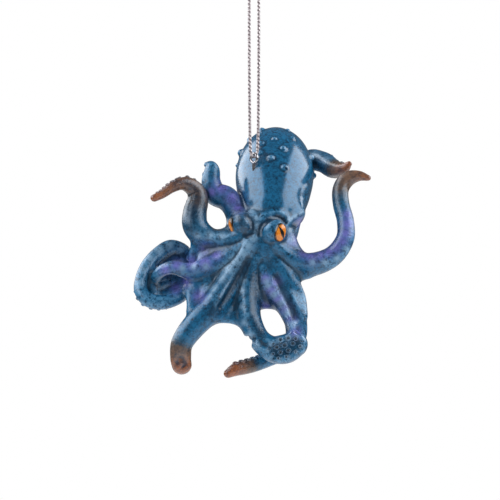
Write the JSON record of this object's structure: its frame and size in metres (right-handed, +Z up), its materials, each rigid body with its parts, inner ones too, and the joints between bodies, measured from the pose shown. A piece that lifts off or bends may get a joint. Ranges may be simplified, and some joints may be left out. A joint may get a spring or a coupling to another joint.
{
  "type": "octopus hanging ornament",
  "caption": "Painted resin octopus with a leaning mantle, raised and curling arms and inset eyes, hung from a metal eye pin on a looped silver cord.",
  "frame": {"origin": "where the hook holds the top of the cord's loop", "axes": "+Z up along the hanging cord, +X to the viewer's right, -Y towards the viewer, which is the way the octopus faces"},
  "size_m": [0.0803, 0.0566, 0.155],
  "materials": {
    "skin": "hand-painted resin under gloss lacquer",
    "eye": "painted resin dome under gloss lacquer",
    "metal": "bright nickel plate",
    "cord": "braided metallic thread"
  },
  "bodies": {
    "hanger": {"cord_knot": "cord"},
    "loop": {"cord_loop": "cord"},
    "octopus": {"body_casting": "skin", "right_raised_arm": "skin", "rear_right_arm": "skin", "left_raised_arm": "skin", "rear_left_arm": "skin", "left_coiled_arm": "skin", "left_front_arm": "skin", "middle_front_arm": "skin", "right_front_arm": "skin", "right_eye": "eye", "left_eye": "eye", "eye_pin": "metal"}
  },
  "joints": [
    {"name": "cord_twist", "type": "hinge", "parent": "hanger", "child": "loop", "pos_m": [0, 0, 0], "axis": [0, 0, 1], "range_deg": [-180, 180]},
    {"name": "ornament_swing", "type": "hinge", "parent": "loop", "child": "octopus", "pos_m": [0, 0, -0.069], "axis": [0.7431, 0.6691, 0], "range_deg": [-35, 35]}
  ]
}
